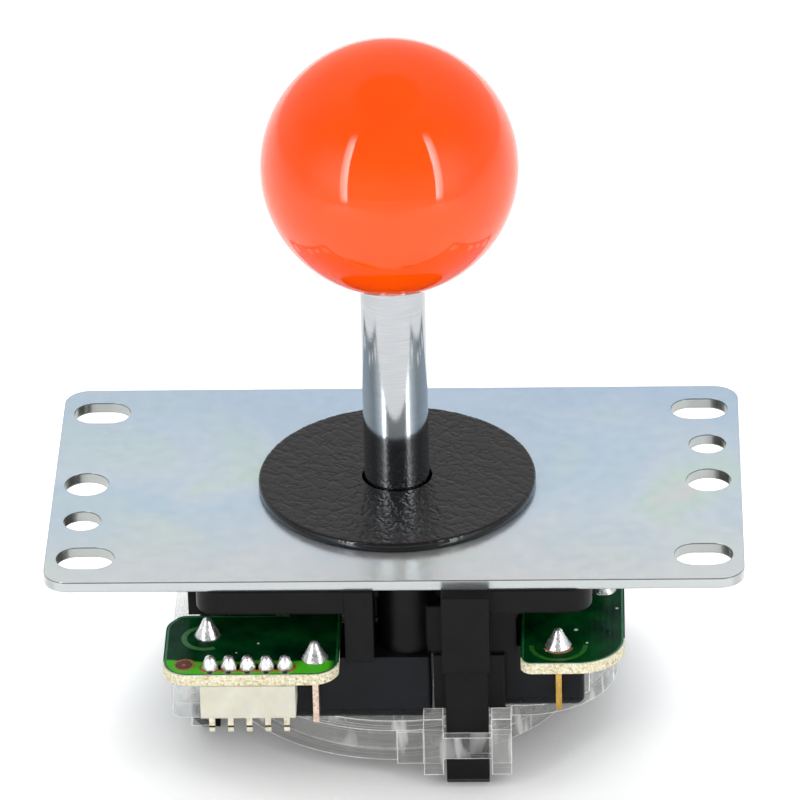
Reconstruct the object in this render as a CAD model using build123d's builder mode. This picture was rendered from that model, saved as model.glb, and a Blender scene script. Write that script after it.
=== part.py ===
from build123d import *
from math import cos, radians, sqrt, tan
import os

# Arcade joystick lever, in millimetres.
# The origin is on the lever's axis, at the top face of the mounting plate.
# X runs along the plate, -Y is the side of the connector and +Z points to the ball.
# Each of the four sides under the plate repeats the front side, turned by 90 degrees.

# Fits and clearances
running_gap = 0.05
sliding_gap = 0.05
loose_gap = 0.2
tilt_margin = 0.2

# Motion
tilt_limit = 8.5
plunger_travel = 0.6

# Mounting plate
plate_length = 95.0
plate_depth = 53.0
plate_thickness = 1.5
plate_corner_r = 3.5
slot_inset_x = 5.5
slot_inset_y = 6.5
slot_length = 8.0
slot_width = 5.7
hole_inset_x = 4.5
panel_hole_d = 6.2
pin_hole_d = 5.2
pin_hole_y = 10.0
plate_bore_r = 9.0

# Lever: ball knob, shaft, pivot
ball_d = 35.0
ball_centre_z = 49.15
ball_flat_r = 5.6
shaft_d = 9.0
tip_d = 8.0
stud_d = 6.0
stud_length = 12.0
stud_seat = 1.2
insert_wall = 1.9
insert_flange = 1.0
insert_flange_h = 1.5
shaft_chamfer = 0.6
pivot_r = 6.5
pivot_drop = 5.0
pivot_above = 1.5
pivot_below = 4.5
socket_depth = 3.7
shaft_tip_depth = 23.4
driver_slot_width = 1.2
driver_slot_depth = 1.6

# Lever: spring cap, spring, actuator, retaining clip
cap_collar = 0.6
cap_collar_wall = 0.35
cap_flange_r = 5.3
cap_flange_h = 0.8
wire_d = 0.8
spring_length = 8.4
spring_turns = 5
actuator_r = 5.8
actuator_wall = 0.7
actuator_floor = 1.2
actuator_height = 7.8
actuator_gap = 2.1
clip_thickness = 0.6
clip_r = 5.4
clip_groove_depth = 0.6
clip_mouth = 4.4
clip_hole_r = 0.45

# Dust washers
disc_r = 19.15
disc_thickness = 1.25
disc_bore_gap = 0.35
disc_edge_r = 0.35
inner_washer_r = 10.6
inner_washer_thickness = 0.8
inner_washer_bore_gap = 1.2

# Body
body_margin = 1.15
body_corner_r = 3.0
flange_thickness = 3.7
flange_edge_r = 0.4
hub_r = 9.0
rib_thickness = 1.6
rib_height = 4.0
pillar_x = -4.75
pillar_width = 3.9
pillar_proud = 0.15
pillar_length = 9.5
boss_x = 1.7
boss_inset = 5.85
boss_r = 4.05
notch_depth = 4.35

# Clip legs of the body
leg_x = 9.7
leg_proud = 1.9
leg_root_width = 6.5
leg_root_depth = 4.3
leg_root_height = 11.8
leg_width = 5.8
leg_thickness = 2.2
leg_setback = 1.55
hook_height = 4.6
hook_chamfer = 1.4
wing_width = 9.7
wing_switch_gap = 0.3
wing_overlap = 0.3
wing_lift = 1.6
web_width = 12.1
web_overlap = 0.25
web_boss_overlap = 1.35

# Screws between plate and body
screw_r = 1.5
screw_head_r = 2.75
screw_length = 8.0
screw_place = 10.6
screw_boss_r = 3.2
screw_boss_height = 5.0
screw_recess_depth = 0.9
screw_recess_taper = 20.0
countersink_angle = 90.0

# Circuit board
board_drop = 9.5
board_thickness = 1.6
board_bore_r = 10.5
board_boss_gap = 0.35
board_pillar_gap = 0.8
lobe_far_margin = 2.85
lobe_end_margin = 4.7
lobe_near_margin = 5.1
lobe_corner_r = 6.5
lobe_neck = 2.0
board_fillet_r = 1.6
socket_side_margin = 5.1
socket_front_margin = 2.1
socket_lobe_r = 3.6
solder_r = 1.85
solder_height = 2.9
pin_solder_r = 1.05
pin_solder_height = 2.0

# Microswitches, the front one given
switch_length = 27.8
switch_depth = 15.9
switch_height = 10.0
switch_end_x = 4.9
switch_edge_r = 0.8
switch_wall = 1.5
cover_thickness = 1.7
cover_outer_r = 1.5
mount_hole_d = 3.1
mount_hole_inset = 2.8
mount_boss_r = 2.7
plunger_d = 2.4
plunger_stand = 1.9
plunger_collar_d = 3.6
plunger_collar_h = 1.4
plunger_tip_r = 0.7
blade_thickness = 0.3
blade_width = 3.6
blade_overlap = 2.6
blade_window = 1.6
contact_r = 1.1
contact_h = 0.4
contact_gap = 0.5
terminal_thickness = 0.8
terminal_height = 6.8
terminal_reach = 3.2
terminal_drop = 1.5
tail_width = 1.0
tail_stand = 1.6
no_terminal_x = -10.8
com_terminal_inset = 3.5

# Connector
connector_switch_gap = 1.6
connector_terminal_gap = 2.15
connector_width = 12.9
connector_depth = 5.75
connector_height = 5.0
connector_front = 2.4
connector_wall = 0.7
connector_base = 1.6
pin_pitch = 2.54
pin_count = 5
pin_size = 0.8
pin_stick_out = 3.5
key_width = 1.6

# Restrictor gate
tray_terminal_gap = 0.3
tray_y = 22.2
tray_left_extra = 0.7
tray_corner_r = 13.0
tray_square_r = 1.6
tray_wall = 1.1
tray_wall_height = 7.0
tray_step = 0.7
gate_floor = 1.6
floor_bore_r = 15.0
drum_leg_gap = 0.6
drum_wall = 1.6
drum_depth = 5.1
lip_width = 1.0
lip_height = 0.8
post_gap = 0.4
pad_overlap = 0.8
post_width = 2.7
post_thickness = 2.9
post_rise = 1.9
post_drop = 7.0
bar_thickness = 1.35
bar_top_drop = 1.1
bar_height = 3.35
detent_width = 3.6
detent_length = 2.6

# Restrictor disc
gate_disc_thickness = 1.8
gate_hole_margin = 0.25
gate_hole_r = 1.2
gate_collar_wall = 1.4
gate_collar_height = 1.6
gate_rib_height = 1.0
gate_rib_wall = 1.2

# Heights that follow from the sizes above
z_body_top = -plate_thickness
z_flange_bottom = z_body_top - flange_thickness
z_pivot = z_body_top - pivot_drop
z_shoulder = z_pivot + pivot_above
z_pivot_bottom = z_pivot - pivot_below
z_hub_bottom = z_pivot - socket_depth
z_cap_top = z_pivot_bottom - cap_collar
z_cap_bottom = z_cap_top - cap_flange_h
z_actuator_floor = z_cap_bottom - spring_length
z_actuator_bottom = z_actuator_floor - actuator_floor
z_clip_bottom = z_actuator_bottom - clip_thickness
z_tip = z_pivot - shaft_tip_depth
z_board_top = z_body_top - board_drop
z_board_bottom = z_board_top - board_thickness
z_switch_bottom = z_board_bottom - switch_height
z_cover_top = z_switch_bottom + cover_thickness
z_floor_bottom = z_switch_bottom - gate_floor
z_drum_bottom = z_floor_bottom - drum_depth
z_gate_disc_bottom = z_drum_bottom + lip_height
z_gate_disc_top = z_gate_disc_bottom + gate_disc_thickness
z_bar_top = z_switch_bottom - bar_top_drop
z_bar_bottom = z_bar_top - bar_height
z_hook_top = z_bar_bottom - sliding_gap
z_leg_end = z_hook_top - hook_height
z_wing_bottom = z_switch_bottom + wing_lift

# Radii and distances that follow from the sizes above
ball_r = ball_d / 2
shaft_r = shaft_d / 2
tip_r = tip_d / 2
stud_r = stud_d / 2
z_ball_flat = ball_centre_z - sqrt(ball_r ** 2 - ball_flat_r ** 2)
z_shaft_top = z_ball_flat + stud_seat
z_stud_top = z_shaft_top + stud_length
insert_r = stud_r + insert_wall
actuator_inner_r = actuator_r - actuator_wall
groove_r = tip_r - clip_groove_depth
spring_r = (tip_r + actuator_inner_r) / 2
disc_bore_r = shaft_r + disc_bore_gap
disc_travel = (-z_pivot + sliding_gap + disc_thickness / 2) * radians(tilt_limit)
recess_r = inner_washer_r + disc_travel + tilt_margin
recess_depth = inner_washer_thickness + 2 * sliding_gap
gate_hole_half = (z_pivot - z_gate_disc_bottom) * tan(radians(tilt_limit)) / cos(radians(tilt_limit))
gate_hole_half += tip_r / cos(radians(tilt_limit)) + gate_hole_margin
plunger_tip_y = actuator_r + actuator_gap
switch_start_x = switch_end_x - switch_length
switch_inner_y = plunger_tip_y + plunger_stand
switch_outer_y = switch_inner_y + switch_depth
z_switch_mid = (z_board_bottom + z_switch_bottom) / 2
terminal_mid_y = switch_outer_y - com_terminal_inset
z_terminal_top = z_board_bottom - terminal_drop
z_terminal_bottom = z_terminal_top - terminal_height
z_tail_top = z_board_top + tail_stand
plunger_back_y = switch_inner_y + switch_wall + running_gap + plunger_collar_h
blade_y = plunger_back_y + plunger_travel + running_gap
contact_y = blade_y + blade_thickness + contact_h + contact_gap
no_foot_y = contact_y + contact_h
com_post_x = switch_start_x + mount_hole_inset + mount_boss_r + loose_gap
no_left = no_terminal_x - terminal_thickness / 2
no_right = no_terminal_x + terminal_thickness / 2
no_tail_y = switch_outer_y + terminal_reach - tail_width / 2
com_tail_x = switch_start_x - terminal_reach + tail_width / 2
body_half = switch_outer_y + body_margin
pillar_left = pillar_x - pillar_width / 2
pillar_right = pillar_x + pillar_width / 2
pillar_outer_y = body_half + pillar_proud
boss_y = body_half - boss_inset
leg_left = leg_x - leg_width / 2
leg_right = leg_x + leg_width / 2
leg_outer_y = body_half + leg_proud
leg_inner_y = leg_outer_y - leg_setback - leg_thickness
wing_left = switch_end_x + wing_switch_gap
web_left = boss_x + boss_r - web_boss_overlap
board_ring = boss_y - boss_r - board_boss_gap
lobe_start = board_pillar_gap - pillar_left
lobe_near = terminal_mid_y - lobe_near_margin
lobe_far = no_tail_y + lobe_far_margin
lobe_end = lobe_end_margin - com_tail_x
housing_back = -switch_outer_y - connector_switch_gap
housing_front = housing_back - connector_depth
housing_right = no_left - connector_terminal_gap
housing_left = housing_right - connector_width
connector_x = (housing_left + housing_right) / 2
connector_y = -housing_front - connector_front
socket_lobe_x = socket_side_margin - housing_left
socket_lobe_y = connector_y + socket_front_margin
post_inner_y = leg_outer_y - post_thickness
tray_x = no_tail_y + tail_width / 2 + tray_terminal_gap + tray_wall
drum_r = sqrt(leg_left ** 2 + leg_inner_y ** 2) - drum_leg_gap
tray_front_r = drum_r + tray_step

quarter_turns = [0, 90, 180, 270]
sides = {"front": 0, "right": 90, "back": 180, "left": 270}


def level(height, turn=0.0):
    """A horizontal plane at a height, turned about the lever's axis."""
    return Plane.XY.offset(height).rotated((0, 0, turn))


def block(x_from, x_to, y_from, y_to, mode=Mode.ADD):
    """Draw the rectangle between two x limits and two y limits."""
    with Locations(((x_from + x_to) / 2, (y_from + y_to) / 2)):
        Rectangle(x_to - x_from, y_to - y_from, mode=mode)


def corner_near(sketch, x, y):
    """The vertex of a sketch that lies nearest to a place."""
    return sketch.vertices().sort_by_distance((x, y, 0))[0]


def save(piece, name):
    """Label a finished piece and write it as its own STEP file."""
    piece.label = name
    export_step(piece, f"parts/{name}.step")


os.makedirs("parts", exist_ok=True)

screw_places = [(x, y) for x in (-screw_place, screw_place) for y in (-screw_place, screw_place)]

# Mounting plate: pressed sheet with slots, round holes and four countersinks
hole_x = plate_length / 2 - hole_inset_x
with BuildPart() as mounting_plate:
    with BuildSketch(level(-plate_thickness)):
        RectangleRounded(plate_length, plate_depth, plate_corner_r)
        Circle(plate_bore_r, mode=Mode.SUBTRACT)
        with GridLocations(plate_length - 2 * slot_inset_x, plate_depth - 2 * slot_inset_y, 2, 2):
            SlotOverall(slot_length, slot_width, mode=Mode.SUBTRACT)
        with Locations((-hole_x, 0), (hole_x, 0)):
            Circle(panel_hole_d / 2, mode=Mode.SUBTRACT)
        with Locations((-hole_x, -pin_hole_y), (hole_x, pin_hole_y)):
            Circle(pin_hole_d / 2, mode=Mode.SUBTRACT)
    extrude(amount=plate_thickness)
    with Locations(*[(x, y, 0) for x, y in screw_places]):
        CounterSinkHole(
            screw_r + running_gap,
            screw_head_r + running_gap,
            counter_sink_angle=countersink_angle,
        )
save(mounting_plate.part, "mounting_plate")

# Countersunk screws, one made and then repeated at its four places
with BuildPart() as screw:
    with BuildSketch(Plane.XZ):
        with BuildLine():
            Polyline(
                (0, 0),
                (screw_head_r, 0),
                (screw_r, screw_r - screw_head_r),
                (screw_r, -screw_length + screw_r / 2),
                (screw_r / 2, -screw_length),
                (0, -screw_length),
                close=True,
            )
        make_face()
    revolve(axis=Axis.Z)
    with BuildSketch(level(0)):
        Rectangle(screw_head_r, screw_r / 2)
        Rectangle(screw_r / 2, screw_head_r)
    extrude(amount=-screw_recess_depth, taper=screw_recess_taper, mode=Mode.SUBTRACT)
with BuildPart() as plate_screws:
    with Locations(*[(x, y, 0) for x, y in screw_places]):
        add(screw.part)
save(plate_screws.part, "plate_screws")

# Body: flange, ball socket, ribs, pillars, bosses and four clip legs with webs and wings
with BuildPart() as body:
    with BuildSketch(level(z_flange_bottom)):
        RectangleRounded(2 * body_half, 2 * body_half, body_corner_r)
    extrude(amount=flange_thickness)
    for turn in quarter_turns:
        with BuildSketch(level(z_flange_bottom, turn)):
            block(pillar_x, leg_x, -2 * body_half, notch_depth - body_half)
        extrude(amount=flange_thickness, mode=Mode.SUBTRACT)
    fillet(body.edges().filter_by(Axis.Z, reverse=True).group_by(Axis.Z)[0], flange_edge_r)
    with BuildSketch(level(z_hub_bottom)):
        Circle(hub_r)
    extrude(amount=z_flange_bottom - z_hub_bottom)
    with BuildSketch(level(z_flange_bottom - screw_boss_height)):
        with Locations(*screw_places):
            Circle(screw_boss_r)
    extrude(amount=screw_boss_height)
    for turn in quarter_turns:
        with BuildSketch(level(z_flange_bottom - rib_height, turn)):
            block(-rib_thickness / 2, rib_thickness / 2, -boss_y, -hub_r + rib_thickness)
            block(pillar_left, boss_x, -boss_y, -boss_y + rib_thickness)
        extrude(amount=rib_height)
        with BuildSketch(level(z_board_bottom, turn)):
            block(pillar_left, pillar_right, -pillar_outer_y, pillar_length - pillar_outer_y)
        extrude(amount=z_body_top - z_board_bottom)
        with BuildSketch(level(z_board_bottom, turn)):
            with Locations((boss_x, -boss_y)):
                Circle(boss_r)
        extrude(amount=z_body_top - z_board_bottom)
        root_half = leg_root_width / 2
        with BuildSketch(level(z_body_top - leg_root_height, turn)):
            block(leg_x - root_half, leg_x + root_half, -leg_outer_y, leg_root_depth - leg_outer_y)
        extrude(amount=leg_root_height)
        with BuildSketch(level(z_leg_end, turn)):
            block(leg_left, leg_right, leg_setback - leg_outer_y, -leg_inner_y)
        extrude(amount=z_body_top - leg_root_height - z_leg_end)
        with BuildSketch(level(z_leg_end, turn)):
            block(leg_left, leg_right, -leg_outer_y, -leg_inner_y)
        extrude(amount=hook_height)
        with BuildSketch(level(z_wing_bottom, turn)):
            wing_front = -leg_inner_y - wing_overlap
            block(wing_left, wing_left + wing_width, wing_front, switch_start_x - loose_gap)
        extrude(amount=z_board_bottom - z_wing_bottom)
        with BuildSketch(level(z_board_bottom, turn)):
            root_back = leg_root_depth - leg_outer_y
            block(web_left, web_left + web_width, root_back - web_overlap, switch_start_x - loose_gap)
        extrude(amount=z_flange_bottom - z_board_bottom)
    end_edges = body.edges().group_by(Axis.Z)[0]
    hook_edges = end_edges.filter_by(lambda edge: edge.length > leg_width - loose_gap)
    toe_edges = hook_edges.filter_by(
        lambda edge: max(abs(edge.center().X), abs(edge.center().Y)) > leg_outer_y - loose_gap
    )
    chamfer(toe_edges, hook_chamfer)
    with BuildSketch(Plane.XZ):
        with BuildLine():
            Polyline(
                (0, z_body_top),
                (recess_r, z_body_top),
                (recess_r, z_body_top - recess_depth),
                (pivot_r + running_gap, z_body_top - recess_depth),
                (pivot_r + running_gap, z_pivot),
                (0, z_pivot),
                close=True,
            )
        make_face()
    revolve(axis=Axis.Z, mode=Mode.SUBTRACT)
    with Locations((0, 0, z_pivot)):
        Sphere(pivot_r + running_gap, mode=Mode.SUBTRACT)
    with Locations(*[(x, y, z_body_top) for x, y in screw_places]):
        Hole(screw_r, depth=screw_length)
save(body.part, "body")

# Pivot ball: cut flat above and below, bored for the shaft's lower end
with BuildPart() as pivot_ball:
    with Locations((0, 0, z_pivot)):
        Sphere(pivot_r)
    split(bisect_by=level(z_shoulder), keep=Keep.BOTTOM)
    split(bisect_by=level(z_pivot_bottom), keep=Keep.TOP)
    with BuildSketch(level(z_pivot_bottom)):
        Circle(tip_r + running_gap)
    extrude(amount=pivot_above + pivot_below, mode=Mode.SUBTRACT)
save(pivot_ball.part, "pivot_ball")

# Shaft: one turned bar with a shoulder, a clip groove, a stud and a driver slot
with BuildPart() as shaft:
    with BuildSketch(Plane.XZ):
        with BuildLine():
            Polyline(
                (0, z_tip),
                (tip_r - shaft_chamfer, z_tip),
                (tip_r, z_tip + shaft_chamfer),
                (tip_r, z_clip_bottom - running_gap),
                (groove_r, z_clip_bottom - running_gap),
                (groove_r, z_actuator_bottom),
                (tip_r, z_actuator_bottom),
                (tip_r, z_shoulder),
                (shaft_r, z_shoulder),
                (shaft_r, z_shaft_top - shaft_chamfer),
                (shaft_r - shaft_chamfer, z_shaft_top),
                (stud_r, z_shaft_top),
                (stud_r, z_stud_top - shaft_chamfer),
                (stud_r - shaft_chamfer, z_stud_top),
                (0, z_stud_top),
                close=True,
            )
        make_face()
    revolve(axis=Axis.Z)
    with BuildSketch(level(z_tip)):
        Rectangle(tip_d, driver_slot_width)
    extrude(amount=driver_slot_depth, mode=Mode.SUBTRACT)
save(shaft.part, "shaft")

# Ball knob: moulded round its threaded insert
with BuildPart() as ball_knob:
    with Locations((0, 0, ball_centre_z)):
        Sphere(ball_r)
    split(bisect_by=level(z_ball_flat), keep=Keep.TOP)
    with BuildSketch(level(z_ball_flat)):
        Circle(shaft_r + running_gap)
    extrude(amount=stud_seat, mode=Mode.SUBTRACT)
    with BuildSketch(level(z_shaft_top)):
        Circle(insert_r)
    extrude(amount=stud_length + insert_flange, mode=Mode.SUBTRACT)
    with BuildSketch(level(z_stud_top - insert_flange_h)):
        Circle(insert_r + insert_flange)
    extrude(amount=insert_flange_h, mode=Mode.SUBTRACT)
save(ball_knob.part, "ball_knob")

# Threaded insert of the ball, closed at its top
with BuildPart() as ball_insert:
    with BuildSketch(level(z_shaft_top)):
        Circle(insert_r)
    extrude(amount=stud_length + insert_flange)
    with BuildSketch(level(z_stud_top - insert_flange_h)):
        Circle(insert_r + insert_flange)
    extrude(amount=insert_flange_h)
    with BuildSketch(level(z_shaft_top)):
        Circle(stud_r + running_gap)
    extrude(amount=stud_length + running_gap, mode=Mode.SUBTRACT)
save(ball_insert.part, "ball_insert")

# Spring cap: a collar against the pivot ball and a flange over the spring
with BuildPart() as spring_cap:
    with BuildSketch(level(z_cap_top)):
        Circle(tip_r + running_gap + cap_collar_wall)
    extrude(amount=cap_collar)
    with BuildSketch(level(z_cap_bottom)):
        Circle(cap_flange_r)
    extrude(amount=cap_flange_h)
    with BuildSketch(level(z_cap_bottom)):
        Circle(tip_r + running_gap)
    extrude(amount=cap_flange_h + cap_collar, mode=Mode.SUBTRACT)
save(spring_cap.part, "spring_cap")

# Centring spring: a coil of round wire between the cap and the actuator's floor
coil_height = spring_length - wire_d - 2 * running_gap
with BuildPart() as spring:
    with BuildLine() as coil:
        Helix(
            pitch=coil_height / spring_turns,
            height=coil_height,
            radius=spring_r,
            center=(0, 0, z_actuator_floor + wire_d / 2 + running_gap),
        )
    with BuildSketch(Plane(origin=coil.line @ 0, z_dir=coil.line % 0)):
        Circle(wire_d / 2)
    sweep(is_frenet=True)
save(spring.part, "spring")

# Actuator: the cup that holds the spring's lower end and pushes the switches
with BuildPart() as actuator:
    with BuildSketch(level(z_actuator_bottom)):
        Circle(actuator_r)
    extrude(amount=actuator_height)
    fillet(actuator.edges().filter_by(GeomType.CIRCLE).group_by(Axis.Z)[0], actuator_wall / 2)
    with BuildSketch(level(z_actuator_floor)):
        Circle(actuator_inner_r)
    extrude(amount=actuator_height, mode=Mode.SUBTRACT)
    with BuildSketch(level(z_actuator_bottom)):
        Circle(tip_r + running_gap)
    extrude(amount=actuator_floor, mode=Mode.SUBTRACT)
save(actuator.part, "actuator")

# Retaining clip in the shaft's groove, open at one side
with BuildPart() as shaft_clip:
    with BuildSketch(level(z_clip_bottom)):
        Circle(clip_r)
        Circle(groove_r + running_gap, mode=Mode.SUBTRACT)
        block(0, clip_r, -clip_mouth / 2, clip_mouth / 2, mode=Mode.SUBTRACT)
        with PolarLocations((clip_r + groove_r) / 2, 2, start_angle=120, angular_range=120, endpoint=True):
            Circle(clip_hole_r, mode=Mode.SUBTRACT)
    extrude(amount=clip_thickness)
save(shaft_clip.part, "shaft_clip")

# Dust washer that slides on the plate
with BuildPart() as dust_washer:
    with BuildSketch(level(sliding_gap)):
        Circle(disc_r)
        Circle(disc_bore_r, mode=Mode.SUBTRACT)
    extrude(amount=disc_thickness)
    rim = dust_washer.edges().filter_by(GeomType.CIRCLE).group_by(SortBy.RADIUS)[-1]
    fillet(rim, disc_edge_r)
save(dust_washer.part, "dust_washer")

# Inner dust washer that slides between the plate and the body
with BuildPart() as inner_dust_washer:
    with BuildSketch(level(z_body_top - sliding_gap - inner_washer_thickness)):
        Circle(inner_washer_r)
        Circle(shaft_r + inner_washer_bore_gap, mode=Mode.SUBTRACT)
    extrude(amount=inner_washer_thickness)
save(inner_dust_washer.part, "inner_dust_washer")

# Places on the board: tails of the switch terminals and pins of the connector
pin_span = pin_pitch * (pin_count - 1)
pin_places = [(connector_x - pin_span / 2 + pin_pitch * i, -connector_y) for i in range(pin_count)]

# Circuit board: a ring with four lobes on necks, the front left one larger for the connector
with BuildPart() as circuit_board:
    for turn in quarter_turns:
        with BuildSketch(level(z_board_bottom, turn)) as lobe:
            block(lobe_near, lobe_far, -lobe_end, -lobe_start)
            fillet(corner_near(lobe, lobe_far, -lobe_end), lobe_corner_r)
            fillet(corner_near(lobe, lobe_near, -lobe_end), board_fillet_r)
            fillet(corner_near(lobe, lobe_far, -lobe_start), board_fillet_r)
            block(board_ring - lobe_neck, lobe_near + lobe_neck, lobe_neck - board_ring, -lobe_start)
        extrude(amount=board_thickness)
    with BuildSketch(level(z_board_bottom)):
        RectangleRounded(2 * board_ring, 2 * board_ring, board_fillet_r)
    extrude(amount=board_thickness)
    with BuildSketch(level(z_board_bottom)) as socket_lobe:
        block(-socket_lobe_x, -lobe_start, -socket_lobe_y, -lobe_near)
        fillet(corner_near(socket_lobe, -socket_lobe_x, -socket_lobe_y), socket_lobe_r)
        fillet(corner_near(socket_lobe, -lobe_start, -socket_lobe_y), socket_lobe_r)
        fillet(corner_near(socket_lobe, -socket_lobe_x, -lobe_near), socket_lobe_r)
    extrude(amount=board_thickness)
    with BuildSketch(level(z_board_bottom)):
        Circle(board_bore_r)
    extrude(amount=board_thickness, mode=Mode.SUBTRACT)
    with BuildSketch(level(z_board_bottom)):
        with Locations(*pin_places):
            Rectangle(pin_size + 2 * running_gap, pin_size + 2 * running_gap)
    extrude(amount=board_thickness, mode=Mode.SUBTRACT)
    for turn in quarter_turns:
        with BuildSketch(level(z_board_bottom, turn)):
            with Locations((no_terminal_x, -no_tail_y)):
                Rectangle(terminal_thickness + 2 * running_gap, tail_width + 2 * running_gap)
            with Locations((com_tail_x, -terminal_mid_y)):
                Rectangle(tail_width + 2 * running_gap, terminal_thickness + 2 * running_gap)
        extrude(amount=board_thickness, mode=Mode.SUBTRACT)
save(circuit_board.part, "circuit_board")

# Solder joints: a cone round each tail and each pin, standing on the board
with BuildPart() as solder_joints:
    for turn in quarter_turns:
        for x, y in ((no_terminal_x, -no_tail_y), (com_tail_x, -terminal_mid_y)):
            with BuildSketch(level(z_board_top, turn)):
                with Locations((x, y)):
                    Circle(solder_r)
            with BuildSketch(level(z_board_top + solder_height, turn)):
                with Locations((x, y)):
                    Circle(tail_width / 2)
            loft()
    for x, y in pin_places:
        with BuildSketch(level(z_board_top)):
            with Locations((x, y)):
                Circle(pin_solder_r)
        with BuildSketch(level(z_board_top + pin_solder_height)):
            with Locations((x, y)):
                Circle(pin_size / 2)
        loft()
    for turn in quarter_turns:
        with BuildSketch(level(z_board_top, turn)):
            with Locations((no_terminal_x, -no_tail_y)):
                Rectangle(terminal_thickness, tail_width)
            with Locations((com_tail_x, -terminal_mid_y)):
                Rectangle(tail_width, terminal_thickness)
        extrude(amount=tail_stand, mode=Mode.SUBTRACT)
    with BuildSketch(level(z_board_top)):
        with Locations(*pin_places):
            Rectangle(pin_size, pin_size)
    extrude(amount=tail_stand, mode=Mode.SUBTRACT)
save(solder_joints.part, "solder_joints")

# Connector housing: a box open downwards, with two key slots in its back wall
with BuildPart() as connector_housing:
    with BuildSketch(level(z_board_bottom - connector_height)):
        block(housing_left, housing_right, housing_front, housing_back)
    extrude(amount=connector_height)
    with BuildSketch(level(z_board_bottom - connector_height)):
        block(
            housing_left + connector_wall,
            housing_right - connector_wall,
            housing_front + connector_wall,
            housing_back - connector_wall,
        )
        for side in (-1, 1):
            with Locations((connector_x + side * pin_pitch, housing_back)):
                Rectangle(key_width, 2 * connector_wall)
    extrude(amount=connector_height - connector_base, mode=Mode.SUBTRACT)
    with BuildSketch(level(z_board_bottom - connector_height)):
        with Locations(*pin_places):
            Rectangle(pin_size, pin_size)
    extrude(amount=connector_height, mode=Mode.SUBTRACT)
save(connector_housing.part, "connector_housing")

# Connector pins, from the solder down through the board and the housing
with BuildPart() as connector_pins:
    with BuildSketch(level(z_board_bottom - connector_height - pin_stick_out)):
        with Locations(*pin_places):
            Rectangle(pin_size, pin_size)
    extrude(amount=connector_height + pin_stick_out + board_thickness + tail_stand)
    chamfer(connector_pins.faces().group_by(Axis.Z)[0].edges(), pin_size / 5)
save(connector_pins.part, "connector_pins")

# Microswitch, made on the front side: a case with a cavity for the snap blade
cavity_left = switch_start_x + switch_wall
cavity_right = switch_end_x - switch_wall
cavity_front = switch_wall - switch_outer_y
cavity_back = -switch_inner_y - switch_wall
mount_holes = [
    (switch_start_x + mount_hole_inset, -switch_inner_y - mount_hole_inset),
    (switch_end_x - mount_hole_inset, mount_hole_inset - switch_outer_y),
]
com_front = -terminal_mid_y - terminal_thickness / 2
com_back = -terminal_mid_y + terminal_thickness / 2


def switch_outline():
    """Draw the switch's outline with its rounded corners."""
    with Locations(((switch_start_x + switch_end_x) / 2, -(switch_outer_y + switch_inner_y) / 2)):
        RectangleRounded(switch_length, switch_depth, switch_edge_r)


with BuildPart() as switch_case:
    with BuildSketch(level(z_cover_top)):
        switch_outline()
    extrude(amount=switch_height - cover_thickness)
    with BuildSketch(level(z_cover_top)):
        block(cavity_left, cavity_right, cavity_front, cavity_back)
        with Locations(*mount_holes):
            Circle(mount_boss_r, mode=Mode.SUBTRACT)
    extrude(amount=switch_height - cover_thickness - switch_wall, mode=Mode.SUBTRACT)
    with BuildSketch(level(z_cover_top)):
        with Locations(*mount_holes):
            Circle(mount_hole_d / 2)
    extrude(amount=switch_height - cover_thickness, mode=Mode.SUBTRACT)
    with BuildSketch(level(z_terminal_bottom)):
        block(no_left, no_right, -switch_outer_y, cavity_front)
        block(switch_start_x, cavity_left, com_front, com_back)
    extrude(amount=terminal_height, mode=Mode.SUBTRACT)
    with BuildSketch(Plane.XZ.offset(switch_inner_y)):
        with Locations((0, z_switch_mid)):
            Circle(plunger_d / 2 + running_gap)
    extrude(amount=switch_wall, mode=Mode.SUBTRACT)

# Cover that closes the case from below
with BuildPart() as switch_cover:
    with BuildSketch(level(z_switch_bottom)):
        switch_outline()
    extrude(amount=cover_thickness)
    fillet(switch_cover.edges().group_by(Axis.Z)[0].group_by(Axis.Y)[0], cover_outer_r)
    with BuildSketch(level(z_switch_bottom)):
        with Locations(*mount_holes):
            Circle(mount_hole_d / 2)
    extrude(amount=cover_thickness, mode=Mode.SUBTRACT)

# Plunger with the collar that keeps it in the case
with BuildPart() as switch_plunger:
    with BuildSketch(Plane.XZ.offset(plunger_tip_y)):
        with Locations((0, z_switch_mid)):
            Circle(plunger_d / 2)
    extrude(amount=plunger_back_y - plunger_tip_y)
    fillet(switch_plunger.edges().group_by(Axis.Y)[-1], plunger_tip_r)
    with BuildSketch(Plane.XZ.offset(plunger_back_y - plunger_collar_h)):
        with Locations((0, z_switch_mid)):
            Circle(plunger_collar_d / 2)
    extrude(amount=plunger_collar_h)

# Snap blade with its window and its moving contact
blade_low = z_switch_mid - blade_width / 2
with BuildPart() as switch_blade:
    with BuildSketch(Plane.XZ.offset(blade_y)):
        block(com_post_x, blade_overlap, blade_low, blade_low + blade_width)
        window_start = com_post_x + terminal_thickness + blade_overlap
        window_low = z_switch_mid - blade_window / 2
        block(window_start, -blade_overlap, window_low, window_low + blade_window, mode=Mode.SUBTRACT)
    extrude(amount=blade_thickness)
    with BuildSketch(Plane.XZ.offset(blade_y + blade_thickness)):
        with Locations((0, z_switch_mid)):
            Circle(contact_r)
    extrude(amount=contact_h)

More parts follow.
